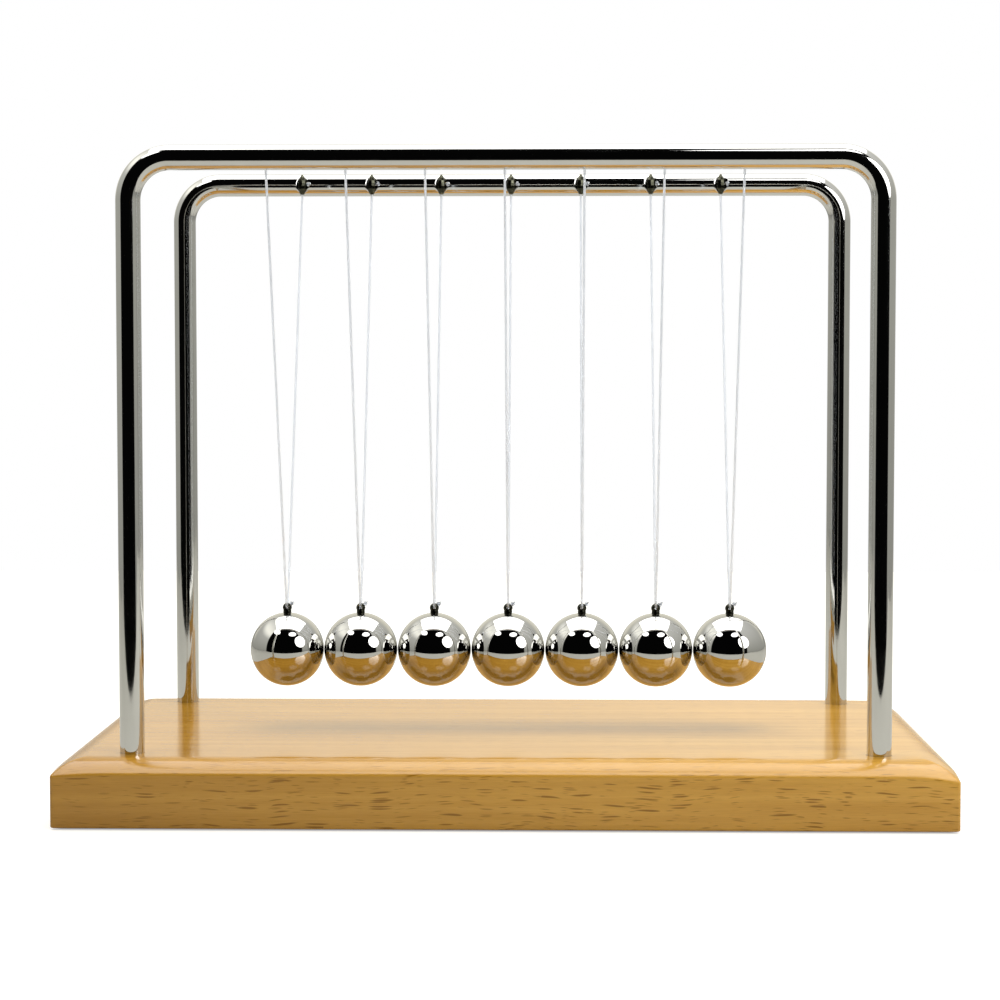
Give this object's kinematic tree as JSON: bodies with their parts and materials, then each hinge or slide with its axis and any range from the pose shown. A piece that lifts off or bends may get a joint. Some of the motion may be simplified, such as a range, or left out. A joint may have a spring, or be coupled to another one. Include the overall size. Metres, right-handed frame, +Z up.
{
  "type": "newtons cradle",
  "caption": "Newton's cradle: polished steel balls on clear nylon lines between two bent chrome rods, on a rounded beech board",
  "frame": {"origin": "middle of the footprint, level with the undersides of the foot pads", "axes": "+X along the ball row to the right, +Y from the front to the rear, +Z up"},
  "size_m": [0.288, 0.155, 0.2176],
  "materials": {
    "beech": "satin",
    "rod_chrome": "polished",
    "ball_steel": "polished",
    "dark_steel": "satin",
    "nylon": "gloss",
    "screw_zinc": "satin",
    "pad_rubber": "matte"
  },
  "bodies": {
    "frame": {"base_board": "beech", "front_rod": "rod_chrome", "rear_rod": "rod_chrome", "line_anchor_front_1": "dark_steel", "line_anchor_front_2": "dark_steel", "line_anchor_front_3": "dark_steel", "line_anchor_front_4": "dark_steel", "line_anchor_front_5": "dark_steel", "line_anchor_front_6": "dark_steel", "line_anchor_front_7": "dark_steel", "line_anchor_rear_1": "dark_steel", "line_anchor_rear_2": "dark_steel", "line_anchor_rear_3": "dark_steel", "line_anchor_rear_4": "dark_steel", "line_anchor_rear_5": "dark_steel", "line_anchor_rear_6": "dark_steel", "line_anchor_rear_7": "dark_steel", "rod_screw_front_left": "screw_zinc", "rod_screw_front_right": "screw_zinc", "rod_screw_rear_left": "screw_zinc", "rod_screw_rear_right": "screw_zinc", "foot_pad_front_left": "pad_rubber", "foot_pad_front_right": "pad_rubber", "foot_pad_rear_left": "pad_rubber", "foot_pad_rear_right": "pad_rubber"},
    "pendulum_1": {"ball_1": "ball_steel", "ball_lug_1": "dark_steel", "line_1": "nylon"},
    "pendulum_2": {"ball_2": "ball_steel", "ball_lug_2": "dark_steel", "line_2": "nylon"},
    "pendulum_3": {"ball_3": "ball_steel", "ball_lug_3": "dark_steel", "line_3": "nylon"},
    "pendulum_4": {"ball_4": "ball_steel", "ball_lug_4": "dark_steel", "line_4": "nylon"},
    "pendulum_5": {"ball_5": "ball_steel", "ball_lug_5": "dark_steel", "line_5": "nylon"},
    "pendulum_6": {"ball_6": "ball_steel", "ball_lug_6": "dark_steel", "line_6": "nylon"},
    "pendulum_7": {"ball_7": "ball_steel", "ball_lug_7": "dark_steel", "line_7": "nylon"}
  },
  "joints": [
    {"name": "ball_1_swing", "type": "hinge", "parent": "frame", "child": "pendulum_1", "pos_m": [-0.07665, 0, 0.21], "axis": [0, 1, 0], "range_deg": [0, 80]},
    {"name": "ball_2_swing", "type": "hinge", "parent": "frame", "child": "pendulum_2", "pos_m": [-0.0511, 0, 0.21], "axis": [0, 1, 0], "range_deg": [-0.05, 0.05]},
    {"name": "ball_3_swing", "type": "hinge", "parent": "frame", "child": "pendulum_3", "pos_m": [-0.02555, 0, 0.21], "axis": [0, 1, 0], "range_deg": [-0.05, 0.05]},
    {"name": "ball_4_swing", "type": "hinge", "parent": "frame", "child": "pendulum_4", "pos_m": [0, 0, 0.21], "axis": [0, 1, 0], "range_deg": [-0.05, 0.05]},
    {"name": "ball_5_swing", "type": "hinge", "parent": "frame", "child": "pendulum_5", "pos_m": [0.02555, 0, 0.21], "axis": [0, 1, 0], "range_deg": [-0.05, 0.05]},
    {"name": "ball_6_swing", "type": "hinge", "parent": "frame", "child": "pendulum_6", "pos_m": [0.0511, 0, 0.21], "axis": [0, 1, 0], "range_deg": [-0.05, 0.05]},
    {"name": "ball_7_swing", "type": "hinge", "parent": "frame", "child": "pendulum_7", "pos_m": [0.07665, 0, 0.21], "axis": [0, 1, 0], "range_deg": [-80, 0]}
  ]
}
